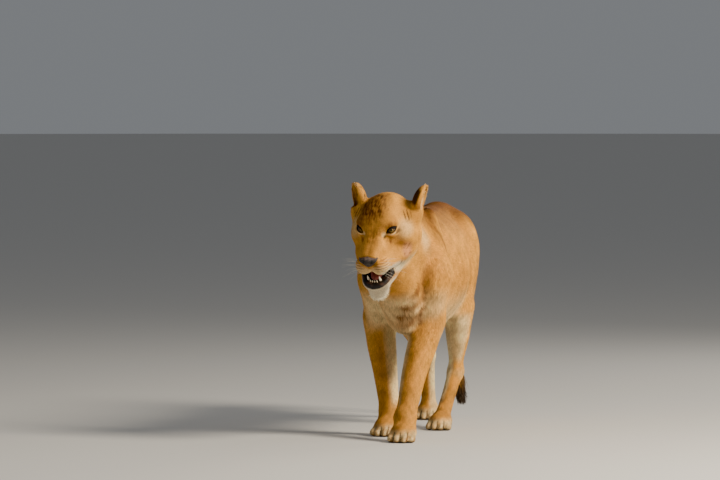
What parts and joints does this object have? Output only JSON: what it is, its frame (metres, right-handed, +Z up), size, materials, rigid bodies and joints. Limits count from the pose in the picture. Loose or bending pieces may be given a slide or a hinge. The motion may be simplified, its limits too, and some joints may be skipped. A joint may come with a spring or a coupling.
{
  "type": "lioness",
  "caption": "Life-size lioness as a still model, walking with head low and mouth slightly open, tail hanging with a dark tuft.",
  "frame": {"origin": "middle of the model's box on the floor, between the four paws", "axes": "+Z up, -Y the way she walks, +X her left side"},
  "size_m": [0.3734, 1.8238, 0.9838],
  "materials": {
    "coat": "short tan fur",
    "dark_coat": "long near-black hair",
    "nose": "moist dark skin",
    "eye": "glossy amber eye",
    "tongue": "moist dark pink skin",
    "enamel": "ivory tooth enamel"
  },
  "bodies": {
    "root": {"belly": "coat", "chest": "coat", "ear_left": "coat", "ear_right": "coat", "foreleg_left": "coat", "foreleg_right": "coat", "forepaw_left": "coat", "forepaw_right": "coat", "head": "coat", "hindpaw_left": "coat", "hindpaw_right": "coat", "hindquarters": "coat", "jaw": "coat", "neck": "coat", "shank_left": "coat", "shank_right": "coat", "tail_base": "coat", "tail_middle": "coat", "tail_tuft": "dark_coat", "nose": "nose", "eye_left": "eye", "eye_right": "eye", "tongue": "tongue"}
  },
  "joints": []
}
